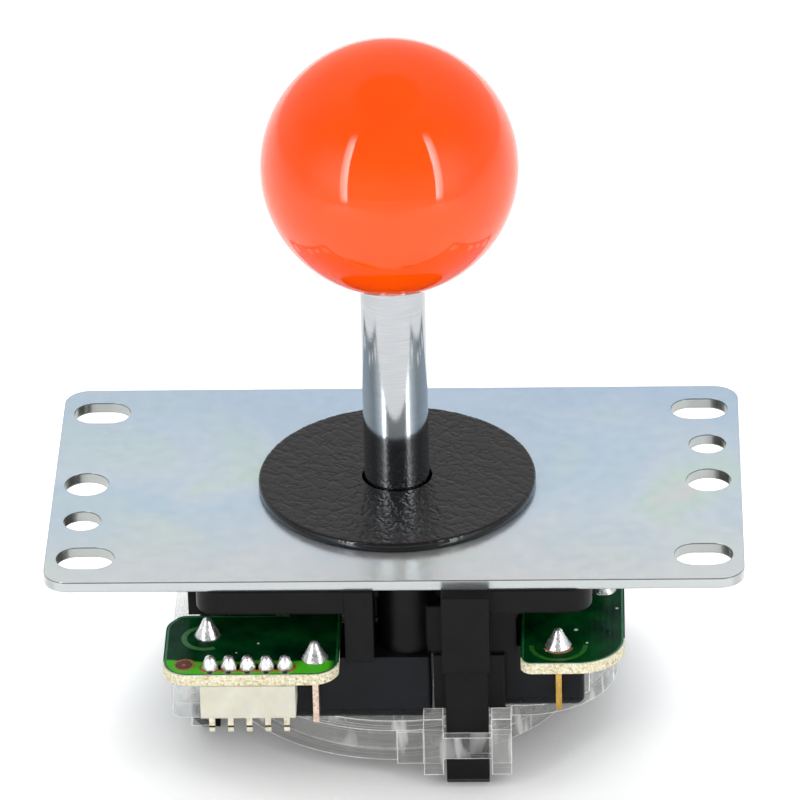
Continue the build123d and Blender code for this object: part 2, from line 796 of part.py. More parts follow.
# Terminals: bent strips from the contacts inside to the tails in the board
with BuildPart() as switch_terminals:
    with BuildSketch(level(z_terminal_bottom)):
        block(no_left, no_right, -switch_outer_y - terminal_reach, -no_foot_y)
        block(com_tail_x - tail_width / 2, com_post_x + terminal_thickness, com_front, com_back)
    extrude(amount=terminal_height)
    with BuildSketch(level(blade_low)):
        block(no_left, contact_r, -no_foot_y - terminal_thickness, -no_foot_y)
        block(com_post_x, com_post_x + terminal_thickness, com_front, -blade_y - blade_thickness)
    extrude(amount=blade_width)
    with BuildSketch(Plane.XZ.offset(contact_y)):
        with Locations((0, z_switch_mid)):
            Circle(contact_r)
    extrude(amount=contact_h)
    with BuildSketch(level(z_terminal_top)):
        with Locations((no_terminal_x, -no_tail_y)):
            Rectangle(terminal_thickness, tail_width)
        with Locations((com_tail_x, -terminal_mid_y)):
            Rectangle(tail_width, terminal_thickness)
    extrude(amount=z_tail_top - z_terminal_top)

switch_pieces = {
    "case": switch_case,
    "cover": switch_cover,
    "plunger": switch_plunger,
    "blade": switch_blade,
    "terminals": switch_terminals,
}
for side, angle in sides.items():
    for piece, made in switch_pieces.items():
        save(made.part.rotate(Axis.Z, angle), f"switch_{side}_{piece}")

# Restrictor gate: tray under the switches, drum, and four loops for the clip legs
slot_left = leg_left - post_gap
slot_right = leg_right + post_gap
tray_left = -tray_x - tray_left_extra
tray_inner_left = tray_left + tray_wall
tray_inner_x = tray_x - tray_wall
tray_inner_y = tray_y - tray_wall
rim_start_x = tail_width / 2 - com_tail_x + loose_gap
tray_corners = [
    (tray_left, -tray_y, tray_square_r),
    (tray_left, tray_y, tray_corner_r),
    (tray_x, -tray_y, tray_corner_r),
    (tray_x, tray_y, tray_corner_r),
]
tray_inner_corners = [
    (tray_inner_left, -tray_inner_y),
    (tray_inner_left, tray_inner_y),
    (tray_inner_x, -tray_inner_y),
    (tray_inner_x, tray_inner_y),
]
with BuildPart() as gate_frame:
    with BuildSketch(level(z_floor_bottom)) as tray_floor:
        block(tray_left, tray_x, -tray_y, tray_y)
        for x, y, corner_r in tray_corners:
            fillet(corner_near(tray_floor, x, y), corner_r)
        Circle(tray_front_r)
    extrude(amount=gate_floor)
    with BuildSketch(level(z_switch_bottom)) as tray_rim:
        block(tray_left, tray_x, -tray_y, tray_y)
        block(tray_inner_left, tray_inner_x, -tray_inner_y, tray_inner_y, mode=Mode.SUBTRACT)
        for (x, y, corner_r), (inner_x, inner_y) in zip(tray_corners, tray_inner_corners):
            fillet(corner_near(tray_rim, x, y), corner_r)
            fillet(corner_near(tray_rim, inner_x, inner_y), corner_r - tray_wall)
        Rectangle(2 * rim_start_x, 4 * tray_y, mode=Mode.SUBTRACT)
    extrude(amount=tray_wall_height)
    with BuildSketch(level(z_drum_bottom)):
        Circle(drum_r)
    extrude(amount=drum_depth)
    for turn in quarter_turns:
        with BuildSketch(level(z_floor_bottom, turn)):
            block(slot_left - post_width, slot_right + post_width, -post_inner_y - pad_overlap, -floor_bore_r)
        extrude(amount=gate_floor)
        with BuildSketch(level(z_switch_bottom - post_drop, turn)):
            block(slot_left - post_width, slot_left, -leg_outer_y, -post_inner_y)
            block(slot_right, slot_right + post_width, -leg_outer_y, -post_inner_y)
        extrude(amount=post_rise + post_drop)
        with BuildSketch(level(z_floor_bottom, turn)):
            block(slot_left, slot_right, bar_thickness - leg_outer_y, loose_gap - leg_inner_y)
        extrude(amount=gate_floor, mode=Mode.SUBTRACT)
        with BuildSketch(level(z_bar_bottom, turn)):
            block(slot_left, slot_right, -leg_outer_y, bar_thickness - leg_outer_y)
        extrude(amount=bar_height)
        with BuildSketch(level(z_drum_bottom, turn)):
            block(0, detent_width, -drum_r - detent_length + drum_wall, -drum_r + drum_wall)
        extrude(amount=drum_depth)
    with BuildSketch(level(z_floor_bottom)):
        Circle(floor_bore_r)
    extrude(amount=gate_floor, mode=Mode.SUBTRACT)
    with BuildSketch(level(z_drum_bottom + lip_height)):
        Circle(drum_r - drum_wall)
    extrude(amount=drum_depth - lip_height, mode=Mode.SUBTRACT)
    with BuildSketch(level(z_drum_bottom)):
        Circle(drum_r - drum_wall - lip_width)
    extrude(amount=lip_height, mode=Mode.SUBTRACT)
save(gate_frame.part, "gate_frame")

# Restrictor disc: square window with a raised collar, in the bottom of the drum
gate_disc_r = drum_r - drum_wall - loose_gap
collar_half = gate_hole_half + gate_collar_wall
with BuildPart() as gate_disc:
    with BuildSketch(level(z_gate_disc_bottom)):
        Circle(gate_disc_r)
    extrude(amount=gate_disc_thickness)
    with BuildSketch(level(z_gate_disc_top)):
        Circle(gate_disc_r)
        Circle(gate_disc_r - gate_rib_wall, mode=Mode.SUBTRACT)
        for turn in (0, 90):
            Rectangle(2 * gate_disc_r - gate_rib_wall, gate_rib_wall, rotation=turn)
    extrude(amount=gate_rib_height)
    with BuildSketch(level(z_gate_disc_top)):
        RectangleRounded(2 * collar_half, 2 * collar_half, gate_hole_r + gate_collar_wall)
    extrude(amount=gate_collar_height)
    with BuildSketch(level(z_gate_disc_bottom)):
        RectangleRounded(2 * gate_hole_half, 2 * gate_hole_half, gate_hole_r)
    extrude(amount=gate_disc_thickness + gate_collar_height, mode=Mode.SUBTRACT)
save(gate_disc.part, "gate_disc")
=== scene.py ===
from math import cos, pi, radians, sin, sqrt, tau

import bmesh
import bpy
from mathutils import Matrix, Vector, noise


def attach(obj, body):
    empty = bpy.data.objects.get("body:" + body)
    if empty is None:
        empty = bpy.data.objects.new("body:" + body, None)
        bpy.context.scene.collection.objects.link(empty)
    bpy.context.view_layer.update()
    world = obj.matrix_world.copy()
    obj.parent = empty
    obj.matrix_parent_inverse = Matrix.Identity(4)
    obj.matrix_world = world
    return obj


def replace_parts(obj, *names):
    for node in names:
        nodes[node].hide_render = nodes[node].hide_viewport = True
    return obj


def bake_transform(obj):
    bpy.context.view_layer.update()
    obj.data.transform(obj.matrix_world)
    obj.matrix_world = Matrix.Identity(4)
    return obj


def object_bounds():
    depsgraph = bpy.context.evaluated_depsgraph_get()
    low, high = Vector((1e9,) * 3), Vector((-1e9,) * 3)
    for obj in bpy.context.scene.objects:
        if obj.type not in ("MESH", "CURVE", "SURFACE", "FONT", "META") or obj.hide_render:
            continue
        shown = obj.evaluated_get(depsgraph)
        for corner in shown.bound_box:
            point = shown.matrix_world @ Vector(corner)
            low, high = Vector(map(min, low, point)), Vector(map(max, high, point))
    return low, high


# Looks of an arcade joystick lever: materials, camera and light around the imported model.
# Everything is in metres. Colours are written as 8-bit sRGB and turned into linear light.

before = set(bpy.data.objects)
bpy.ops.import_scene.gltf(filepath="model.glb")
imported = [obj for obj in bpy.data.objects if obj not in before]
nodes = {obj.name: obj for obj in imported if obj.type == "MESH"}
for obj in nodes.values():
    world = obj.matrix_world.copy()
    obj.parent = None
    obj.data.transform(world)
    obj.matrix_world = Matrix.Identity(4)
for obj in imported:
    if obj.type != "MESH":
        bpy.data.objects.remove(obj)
cad_low, cad_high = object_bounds()

MM = 0.001
SIDES = ("front", "right", "back", "left")
SIDE_TURNS = {side: radians(90 * i) for i, side in enumerate(SIDES)}


def colour(red, green, blue):
    """An sRGB colour of 0 to 255 a channel, as the linear RGBA that sockets hold."""
    shares = [c / 255 for c in (red, green, blue)]
    return tuple(c / 12.92 if c <= 0.04045 else ((c + 0.055) / 1.055) ** 2.4 for c in shares) + (1.0,)


class Look:
    """One material: a Principled shader and short ways to add the nodes that feed it."""

    def __init__(self, name, **values):
        self.material = bpy.data.materials.new(name)
        self.material.use_nodes = True
        self.tree = self.material.node_tree
        self.shader = self.tree.nodes["Principled BSDF"]
        for socket, value in values.items():
            self.shader.inputs[socket.replace("_", " ")].default_value = value
        coordinates = self.tree.nodes.new("ShaderNodeTexCoord")
        self.place = coordinates.outputs["Object"]
        self.facing = coordinates.outputs["Normal"]

    def node(self, kind, inputs=None, **settings):
        """A node with its settings, and with inputs that are sockets or plain values."""
        made = self.tree.nodes.new("ShaderNode" + kind)
        for setting, value in settings.items():
            setattr(made, setting, value)
        for socket, value in (inputs or {}).items():
            if isinstance(value, bpy.types.NodeSocket):
                self.tree.links.new(value, made.inputs[socket])
            else:
                made.inputs[socket].default_value = value
        return made

    def feed(self, socket, output):
        """Link an output to one of the shader's sockets."""
        self.tree.links.new(output, self.shader.inputs[socket])

    def math(self, operation, first, second=0.0, third=0.0):
        """The result of a Math node."""
        inputs = {0: first, 1: second, 2: third}
        return self.node("Math", inputs, operation=operation).outputs[0]

    def axes(self):
        """The object's coordinates as outputs X, Y and Z."""
        return self.node("SeparateXYZ", {0: self.place}).outputs

    def facing_up(self):
        """The Z part of the surface's own normal, 1 where it looks straight up."""
        return self.node("SeparateXYZ", {0: self.facing}).outputs["Z"]

    def stretched(self, x, y, z):
        """The object's coordinates multiplied along each axis."""
        return self.node("Mapping", {"Vector": self.place, "Scale": (x, y, z)}).outputs[0]

    def noise(self, size, detail=2.0, roughness=0.5, distortion=0.0, vector=None):
        """Soft noise whose features are about size metres across."""
        inputs = {"Vector": vector or self.place, "Scale": 1 / size, "Detail": detail}
        inputs.update({"Roughness": roughness, "Distortion": distortion})
        return self.node("TexNoise", inputs).outputs["Fac"]

    def ramp(self, value, *stops):
        """A colour ramp from stops of (place, colour)."""
        made = self.node("ValToRGB", {"Fac": value})
        elements = made.color_ramp.elements
        while len(elements) < len(stops):
            elements.new(0.5)
        for element, (place, tone) in zip(elements, stops):
            element.position = place
            element.color = tone
        return made.outputs["Color"]

    def between(self, value, low, high, to_low=0.0, to_high=1.0):
        """A value taken from one range to another, held at the ends."""
        inputs = {"Value": value, "From Min": low, "From Max": high, "To Min": to_low, "To Max": to_high}
        return self.node("MapRange", inputs).outputs["Result"]

    def blend(self, share, first, second, kind="MIX"):
        """The second colour over the first one, by a share of 0 to 1."""
        made = self.node("Mix", data_type="RGBA", blend_type=kind)
        for socket, value in ((0, share), (6, first), (7, second)):
            if isinstance(value, bpy.types.NodeSocket):
                self.tree.links.new(value, made.inputs[socket])
            else:
                made.inputs[socket].default_value = value
        return made.outputs[2]

    def rounded(self, radius):
        """A normal that rounds the edges, as moulding and tumbling leave them."""
        return self.node("Bevel", {"Radius": radius}, samples=4).outputs["Normal"]

    def bump(self, height, depth, normal=None):
        """Relief of the height, where a height of 1 stands depth metres proud."""
        inputs = {"Height": height, "Distance": depth, "Strength": 1.0}
        if normal is not None:
            inputs["Normal"] = normal
        return self.node("Bump", inputs).outputs["Normal"]


def dress(names, look):
    """Give the named nodes one material in every slot."""
    for name in names:
        mesh = nodes[name].data
        mesh.materials.clear()
        mesh.materials.append(look.material)


def new_piece(name, mesh, look, body, smooth=True):
    """Put a finished mesh into the scene as a piece that rides on a body."""
    if smooth:
        mesh.shade_smooth()
    piece = bpy.data.objects.new(name, mesh)
    bpy.context.scene.collection.objects.link(piece)
    mesh.materials.append(look.material)
    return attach(piece, body) if body else piece


def mesh_of(name, points, faces):
    """A mesh from points in metres and faces that index them."""
    made = bpy.data.meshes.new(name)
    made.from_pydata(points, [], faces)
    made.validate()
    return made


def ring_faces(rings, count):
    """Quads between closed rings of points, count points to a ring."""
    faces = []
    for ring in range(rings - 1):
        near, far = ring * count, (ring + 1) * count
        for i in range(count):
            j = (i + 1) % count
            faces.append((near + i, near + j, far + j, far + i))
    return faces


# Materials. Sizes of noise are those of its features, and depths are those of the relief.

PLATE_HALF_X = 47.5 * MM
PLATE_HALF_Y = 26.5 * MM
MASK_STRIP_Y = -28.0 * MM
MASK_STRIP_END_X = -8.0 * MM
PIN_BEND_Z = -20.15 * MM


def glossy_knob():
    """Glossy orange of the ball, hardly uneven."""
    look = Look("knob_orange", Roughness=0.045, IOR=1.5, Specular_IOR_Level=0.4)
    tone = look.noise(9 * MM, detail=3)
    look.feed("Base Color", look.ramp(tone, (0.3, colour(253, 76, 2)), (0.7, colour(254, 82, 4))))
    look.feed("Normal", look.bump(look.noise(3.5 * MM, detail=1), 0.004 * MM))
    return look


def chrome():
    """Chrome on a turned bar, with fine lines round it."""
    look = Look("chrome", Metallic=1.0, Roughness=0.11, Anisotropic=0.7)
    look.feed("Tangent", look.node("Tangent", direction_type="RADIAL", axis="Z").outputs[0])
    streaks = look.noise(1 * MM, detail=4, roughness=0.6, vector=look.stretched(0.2, 0.2, 9.0))
    look.feed("Base Color", look.ramp(streaks, (0.3, colour(166, 169, 172)), (0.7, colour(184, 187, 190))))
    look.feed("Normal", look.bump(streaks, 0.0015 * MM))
    return look


def zinc_plate():
    """Blue-white zinc: soft clouds, bluer at the back, fine rolling lines, and duller cut walls that carry
    painted shade.
    """
    look = Look("zinc_blue_white", Metallic=0.8)
    place = look.axes()
    clouds = look.ramp(
        look.noise(26 * MM, detail=2, roughness=0.5, distortion=0.6),
        (0.28, colour(224, 242, 242)),
        (0.42, colour(214, 236, 252)),
        (0.55, colour(228, 242, 254)),
        (0.68, colour(226, 246, 240)),
        (0.82, colour(244, 240, 246)),
    )
    front = look.between(place["Y"], -6 * MM, -26 * MM, 0.0, 0.7)
    back = look.between(place["Y"], 2 * MM, 24 * MM, 0.0, 0.6)
    tones = look.blend(front, clouds, colour(246, 247, 244))
    tones = look.blend(back, tones, colour(202, 226, 252))
    fine = look.noise(2.2 * MM, detail=4, roughness=0.6)
    speck = look.ramp(fine, (0.3, colour(247, 249, 250)), (0.7, colour(255, 255, 255)))
    sheet = look.blend(1.0, tones, speck, "MULTIPLY")
    # Painted shade: the walls of the holes take a darker tone than the outer walls
    ends = look.between(look.math("ABSOLUTE", place["X"]), PLATE_HALF_X - 0.7 * MM, PLATE_HALF_X - 0.4 * MM)
    rims = look.between(look.math("ABSOLUTE", place["Y"]), PLATE_HALF_Y - 0.7 * MM, PLATE_HALF_Y - 0.4 * MM)
    outer = look.math("MAXIMUM", ends, rims)
    wall = look.blend(outer, colour(168, 173, 171), colour(184, 189, 190))
    # Painted shade: a dark line along the top of every cut wall
    edge_shade_line = look.between(place["Z"], -0.16 * MM, -0.1 * MM)
    wall = look.blend(edge_shade_line, wall, colour(92, 100, 102))
    flat = look.between(look.math("ABSOLUTE", look.facing_up()), 0.5, 0.9)
    look.feed("Base Color", look.blend(flat, wall, sheet))
    look.feed("Roughness", look.between(fine, 0.3, 0.7, 0.2, 0.27))
    rolling = look.noise(0.6 * MM, detail=3, roughness=0.7, vector=look.stretched(0.06, 1.6, 1.0))
    relief = look.math("ADD", rolling, look.noise(0.5 * MM))
    look.feed("Normal", look.bump(relief, 0.002 * MM, look.rounded(0.3 * MM)))
    return look


def leather_plastic():
    """Black sheet whose grain is in the mesh; the shader adds fine pores and a glossier rim."""
    look = Look("leather_grain_black", IOR=1.5, Specular_IOR_Level=0.5)
    pores = look.noise(0.28 * MM, detail=3, roughness=0.6)
    look.feed("Base Color", look.ramp(pores, (0.3, colour(9, 9, 10)), (0.75, colour(18, 18, 19))))
    gloss = look.between(look.facing_up(), 0.5, 0.9, 0.1, 0.24)
    uneven = look.between(look.noise(1.2 * MM), 0.3, 0.7, -0.04, 0.06)
    look.feed("Roughness", look.math("ADD", gloss, uneven))
    look.feed("Normal", look.bump(pores, 0.005 * MM))
    return look


def black_plastic(name, tone, roughness, edge=0.25, grain=0.35):
    """Moulded plastic: the mould's eroded texture, flow clouds and softened edges."""
    look = Look(name, IOR=1.5, Specular_IOR_Level=0.15)
    cloud = look.noise(6 * MM, detail=4, roughness=0.6, distortion=0.4)
    lighter = tuple(min(255, c + 7) for c in tone)
    look.feed("Base Color", look.ramp(cloud, (0.3, colour(*tone)), (0.75, colour(*lighter))))
    uneven = look.noise(1.5 * MM, detail=3)
    look.feed("Roughness", look.between(uneven, 0.3, 0.7, roughness - 0.05, roughness + 0.07))
    texture = look.noise(grain * MM, detail=3, roughness=0.6)
    look.feed("Normal", look.bump(texture, 0.006 * MM, look.rounded(edge * MM)))
    return look


def ivory_plastic():
    """Ivory moulded plastic that light enters a little."""
    look = Look("ivory_nylon", Roughness=0.38, IOR=1.5, Subsurface_Weight=0.25, Subsurface_Scale=0.6 * MM,
                Subsurface_Radius=(1.0, 0.8, 0.5))
    cloud = look.noise(3 * MM, detail=3, roughness=0.6)
    look.feed("Base Color", look.ramp(cloud, (0.3, colour(200, 198, 182)), (0.7, colour(212, 210, 195))))
    look.feed("Normal", look.bump(look.noise(0.3 * MM), 0.004 * MM, look.rounded(0.2 * MM)))
    return look


def metal(name, dark, light, roughness, size=1.0, depth=0.01, stretch=(1.0, 1.0, 1.0)):
    """A metal with mottled colour, uneven gloss and slightly worn edges; its sizes are in millimetres."""
    look = Look(name, Metallic=1.0)
    place = look.stretched(*stretch)
    mottle = look.noise(size * MM, detail=4, roughness=0.65, distortion=0.3, vector=place)
    look.feed("Base Color", look.ramp(mottle, (0.3, colour(*dark)), (0.7, colour(*light))))
    look.feed("Roughness", look.between(mottle, 0.3, 0.7, roughness + 0.08, roughness - 0.04))
    look.feed("Normal", look.bump(mottle, depth * MM, look.rounded(0.08 * MM)))
    return look


def tinned_pin():
    """A tinned pin with a painted shadow across it: a dark line where its end is bent."""
    look = metal("tinned_pin", (196, 188, 160), (236, 232, 214), 0.24, size=0.8)
    mottled = look.shader.inputs["Base Color"].links[0].from_socket
    height = look.axes()["Z"]
    # Painted shadow of the pin's bend: a thin dark band at the bend's height
    bend_shadow = look.math("MULTIPLY", look.between(height, PIN_BEND_Z - 0.2 * MM, PIN_BEND_Z - 0.1 * MM),
                     look.between(height, PIN_BEND_Z + 0.2 * MM, PIN_BEND_Z + 0.1 * MM))
    look.feed("Base Color", look.blend(bend_shadow, mottled, colour(46, 42, 34)))
    return look


def solder():
    """Bright solder with duller patches and a slightly puckered skin."""
    look = Look("solder_bright", Metallic=0.9)
    mottle = look.noise(0.9 * MM, detail=3, roughness=0.6, distortion=0.8)
    look.feed("Base Color", look.ramp(mottle, (0.35, colour(206, 207, 209)), (0.58, colour(253, 253, 253))))
    look.feed("Roughness", look.between(look.noise(0.5 * MM, detail=3), 0.35, 0.7, 0.2, 0.42))
    look.feed("Normal", look.bump(mottle, 0.05 * MM))
    return look


# How much of the clear plastic is glass, how much painted white highlight its edges and waves show, and how
# much white haze its body shows
CLEAR_SHARE = 0.24
EDGE_LIGHT = 0.85
STREAK_LIGHT = 0.36
HAZE = 0.05
CLEAR_TINT = colour(245, 245, 244)
CLEAR_WHITE = colour(252, 252, 252)


def clear_plastic():
    """Clear polycarbonate: part glass with faint flow lines, and the rest seen straight through.

    Painted white highlights pick out its edges and the waves of its upright walls, standing in for light
    that is guided through the sheet and leaves there. Shadow rays meet only the glass share, so the floor
    keeps its shadow.
    """
    look = Look("clear_polycarbonate", IOR=1.56, Transmission_Weight=1.0)
    links = look.tree.links
    flow = look.noise(7 * MM, detail=3, roughness=0.5, distortion=1.2)
    look.feed("Base Color", look.ramp(flow, (0.3, colour(240, 242, 242)), (0.7, colour(250, 251, 251))))
    look.feed("Roughness", look.between(look.noise(2 * MM, detail=3), 0.35, 0.75, 0.02, 0.09))
    soft = look.rounded(0.2 * MM)
    look.feed("Normal", look.bump(flow, 0.02 * MM, soft))
    through = look.node("BsdfTransparent", {"Color": CLEAR_TINT})
    shadow_ray = look.node("LightPath").outputs["Is Shadow Ray"]
    body = look.node("MixShader", {0: look.math("MAXIMUM", shadow_ray, CLEAR_SHARE)})
    links.new(through.outputs[0], body.inputs[1])
    links.new(look.shader.outputs[0], body.inputs[2])

    # Painted highlights: white where the rounded normal turns from the true one, and in streaks on the
    # upright walls' waves; a faint white haze lies over the rest
    straight = look.node("NewGeometry").outputs["Normal"]
    turn = look.node("VectorMath", {0: soft, 1: straight}, operation="DOT_PRODUCT").outputs["Value"]
    edges = look.between(turn, 0.985, 0.9, 0.0, EDGE_LIGHT)
    waves = look.noise(2.8 * MM, detail=2, distortion=0.5, vector=look.stretched(1.0, 1.0, 0.2))
    upright = look.math("SUBTRACT", 1.0, look.math("ABSOLUTE", look.facing_up()))
    streaks = look.math("MULTIPLY", look.between(waves, 0.54, 0.68, 0.0, STREAK_LIGHT), upright)
    highlight_and_haze_share = look.math("MAXIMUM", look.math("MAXIMUM", edges, streaks), HAZE)
    white = look.node("AddShader")
    links.new(look.node("BsdfDiffuse", {"Color": CLEAR_WHITE}).outputs[0], white.inputs[0])
    links.new(look.node("BsdfTranslucent", {"Color": CLEAR_WHITE}).outputs[0], white.inputs[1])
    last = look.node("MixShader", {0: highlight_and_haze_share})
    links.new(body.outputs[0], last.inputs[1])
    links.new(white.outputs[0], last.inputs[2])
    links.new(last.outputs[0], look.tree.nodes["Material Output"].inputs["Surface"])
    return look


def solder_mask():
    """Dark green mask above and below, bright along the front, and the speckled cut of the laminate."""
    look = Look("solder_mask_green", IOR=1.5, Specular_IOR_Level=0.07)
    cloud = look.noise(5 * MM, detail=3, roughness=0.6)
    weave = look.node("TexWave", {"Vector": look.place, "Scale": 1 / (2.6 * MM), "Distortion": 1.5})
    over_copper = look.ramp(cloud, (0.3, colour(0, 34, 18)), (0.7, colour(8, 74, 30)))
    place = look.axes()
    wavy = look.math("MULTIPLY_ADD", look.noise(3 * MM), 1.6 * MM, place["Y"])
    strip = look.math("MULTIPLY", look.between(wavy, MASK_STRIP_Y, MASK_STRIP_Y - 0.3 * MM),
                      look.between(place["X"], MASK_STRIP_END_X, MASK_STRIP_END_X - 1.0 * MM))
    mask = look.blend(strip, over_copper, colour(80, 196, 38))
    speckle = look.noise(0.35 * MM, detail=4, roughness=0.75)
    edge = look.ramp(
        speckle,
        (0.34, colour(160, 142, 98)),
        (0.44, colour(206, 197, 160)),
        (0.54, colour(226, 221, 196)),
        (0.66, colour(242, 240, 226)),
    )
    flat = look.between(look.math("ABSOLUTE", look.facing_up()), 0.45, 0.55)
    look.feed("Base Color", look.blend(flat, edge, mask))
    look.feed("Roughness", look.between(flat, 0.0, 1.0, 0.75, 0.16))
    relief = look.blend(flat, speckle, look.math("MULTIPLY", weave.outputs["Fac"], 0.08))
    look.feed("Normal", look.bump(relief, 0.05 * MM))
    return look


knob_look = glossy_knob()
chrome_look = chrome()
zinc_look = zinc_plate()
leather_look = leather_plastic()
body_look = black_plastic("body_black", (9, 9, 9), 0.42, edge=0.45)
switch_look = black_plastic("switch_black", (16, 18, 22), 0.33, edge=0.2)
cover_look = black_plastic("cover_black", (14, 15, 18), 0.28, edge=0.2)
acetal_look = black_plastic("acetal_black", (24, 24, 25), 0.3, edge=0.15)
sheet_look = black_plastic("washer_black", (30, 30, 31), 0.5, edge=0.05, grain=0.2)
white_acetal_look = black_plastic("acetal_white", (226, 225, 220), 0.35, edge=0.1)
ivory_look = ivory_plastic()
solder_look = solder()
clear_look = clear_plastic()
mask_look = solder_mask()
pin_look = tinned_pin()
brass_look = metal("brass_strip", (150, 116, 52), (206, 170, 92), 0.3, 1.4, stretch=(1.0, 1.0, 0.4))
strip_look = metal("tinned_copper_strip", (196, 160, 134), (248, 238, 226), 0.34, 0.35, depth=0.03)
blade_look = metal("copper_alloy", (176, 120, 78), (214, 166, 120), 0.28, 1.2)
insert_look = metal("turned_brass", (176, 142, 66), (222, 190, 110), 0.25, 0.5, stretch=(0.2, 0.2, 4.0))
wire_look = metal("spring_wire", (168, 170, 173), (214, 216, 218), 0.2, 0.5)
screw_look = metal("zinc_screw", (150, 154, 158), (206, 210, 214), 0.3, 0.7)
clip_look = metal("spring_steel", (110, 112, 116), (160, 162, 166), 0.32, 0.7)

dress(["ball_knob"], knob_look)
dress(["ball_insert"], insert_look)
dress(["shaft"], chrome_look)
dress(["shaft_clip"], clip_look)
dress(["mounting_plate"], zinc_look)
dress(["plate_screws"], screw_look)
dress(["dust_washer"], leather_look)
dress(["inner_dust_washer"], sheet_look)
dress(["body"], body_look)
dress(["pivot_ball"], white_acetal_look)
dress(["actuator", "spring_cap"], acetal_look)
dress(["spring"], wire_look)
dress(["circuit_board"], mask_look)
dress(["solder_joints"], solder_look)
dress(["connector_housing"], ivory_look)
dress(["connector_pins"], pin_look)
dress(["gate_frame", "gate_disc"], clear_look)
strip_looks = {"front": strip_look, "right": brass_look, "back": strip_look, "left": brass_look}
for side in SIDES:
    dress([f"switch_{side}_case"], switch_look)
    dress([f"switch_{side}_cover"], cover_look)
    dress([f"switch_{side}_plunger"], white_acetal_look)
    dress([f"switch_{side}_blade"], blade_look)
    dress([f"switch_{side}_terminals"], strip_looks[side])


# Leather-grained dust washer: creases between cells are pressed into the sheet's top.
# Sizes are in millimetres, here and for the other pieces.

WASHER_R = 19.15
WASHER_BORE_R = 4.85
WASHER_LOW = 0.05
WASHER_HIGH = 1.3
WASHER_EDGE_R = 0.35
GRAIN_CELL = 1.8
GRAIN_DEPTH = 0.1
CREASE_WIDTH = 0.17
CREASE_SHARE = 0.85
RINGS = 84
SPOKES = 560


def grain(x, y):
    """How deep the grain lies at a place, from 0 on a pebble to 1 in a crease."""
    warp = 0.5 * noise.noise((x * 0.8, y * 0.8, 4.0)) + 0.2 * noise.noise((x * 2.4, y * 2.4, 7.0))
    place = Vector((x / GRAIN_CELL + warp, y / GRAIN_CELL - warp, 0.5))
    near = noise.voronoi(place)[0]
    crease = 1 - min(1.0, (near[1] - near[0]) / CREASE_WIDTH)
    swell = noise.noise((x * 2.1, y * 2.1, 9.0)) * 0.5 + 0.5
    return crease ** 1.5 * CREASE_SHARE + (1 - CREASE_SHARE) * swell


def leather_washer():
    """The washer's top as rings of points with its grain, then its outer wall, underside and bore."""
    points = []
    for ring in range(RINGS):
        radius = WASHER_BORE_R + (WASHER_R - WASHER_BORE_R) * ring / (RINGS - 1)
        drop = 0.0
        if radius > WASHER_R - WASHER_EDGE_R:
            inside = (radius - WASHER_R + WASHER_EDGE_R) / WASHER_EDGE_R
            drop = WASHER_EDGE_R * (1 - sqrt(max(0.0, 1 - inside * inside)))
        for spoke in range(SPOKES):
            angle = tau * spoke / SPOKES
            x, y = radius * cos(angle), radius * sin(angle)
            points.append((x * MM, y * MM, (WASHER_HIGH - drop - GRAIN_DEPTH * grain(x, y)) * MM))
    for radius in (WASHER_R, WASHER_BORE_R):
        for spoke in range(SPOKES):
            angle = tau * spoke / SPOKES
            points.append((radius * cos(angle) * MM, radius * sin(angle) * MM, WASHER_LOW * MM))
    faces = ring_faces(RINGS + 2, SPOKES)
    last = (RINGS + 1) * SPOKES
    for i in range(SPOKES):
        j = (i + 1) % SPOKES
        faces.append((last + i, last + j, j, i))
    return mesh_of("leather_washer", points, [tuple(reversed(face)) for face in faces])


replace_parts(new_piece("leather_washer", leather_washer(), leather_look, "dust_washer"), "dust_washer")


# Solder joints: cones that end in the tinned tails, hollow-sided on the switches' and full on the pins

BOARD_TOP = -11.0
PIN_PITCH = 2.54
PIN_COUNT = 5
FIRST_PIN = (-24.88, -30.65)
PIN_PLACES = [(FIRST_PIN[0] + PIN_PITCH * i, FIRST_PIN[1]) for i in range(PIN_COUNT)]
NO_TAIL = (-10.8, -28.4)
COM_TAIL = (-25.6, -22.2)
TAIL_CONE = {"base": 1.85, "tip": 0.5, "height": 2.7, "curve": 1.15}
PIN_CONE = {"base": 1.15, "tip": 0.35, "height": 1.9, "curve": 0.5, "lean": 0.1}
CONE_RINGS = 15
CONE_SPOKES = 28
CONE_UNEVENNESS = 0.10
# The tail's rounded end: its radius and height, as shares of the cone's own
TAIL_END_RADIUS = 0.25
TAIL_END_HEIGHT = 1.03
# Seed of the first joint of each kind
NO_SEED = 3.0
COM_SEED = 8.0
PIN_SEED = 20.0


def solder_cone(x, y, seed, base, tip, height, curve, lean=0.0):
    """Rings of a cone on the board, slightly uneven, with the tail's rounded end on top."""
    points = []
    for ring in range(CONE_RINGS):
        share = ring / (CONE_RINGS - 1)
        radius = tip + (base - tip) * (1 - share) ** curve
        rise = height * share
        if ring == CONE_RINGS - 1:
            radius = tip * TAIL_END_RADIUS
            rise = height * TAIL_END_HEIGHT
        for i in range(CONE_SPOKES):
            angle = tau * i / CONE_SPOKES
            swell = noise.noise((2 * cos(angle), 2 * sin(angle), seed + share))
            uneven = 1 + CONE_UNEVENNESS * (1 - share) * swell
            points.append(((x + radius * uneven * cos(angle)) * MM,
                           (y + radius * uneven * sin(angle) - lean * rise) * MM,
                           (BOARD_TOP + rise) * MM))
    faces = ring_faces(CONE_RINGS, CONE_SPOKES)
    faces.append(tuple((CONE_RINGS - 1) * CONE_SPOKES + i for i in range(CONE_SPOKES)))
    faces.append(tuple(reversed(range(CONE_SPOKES))))
    return points, faces


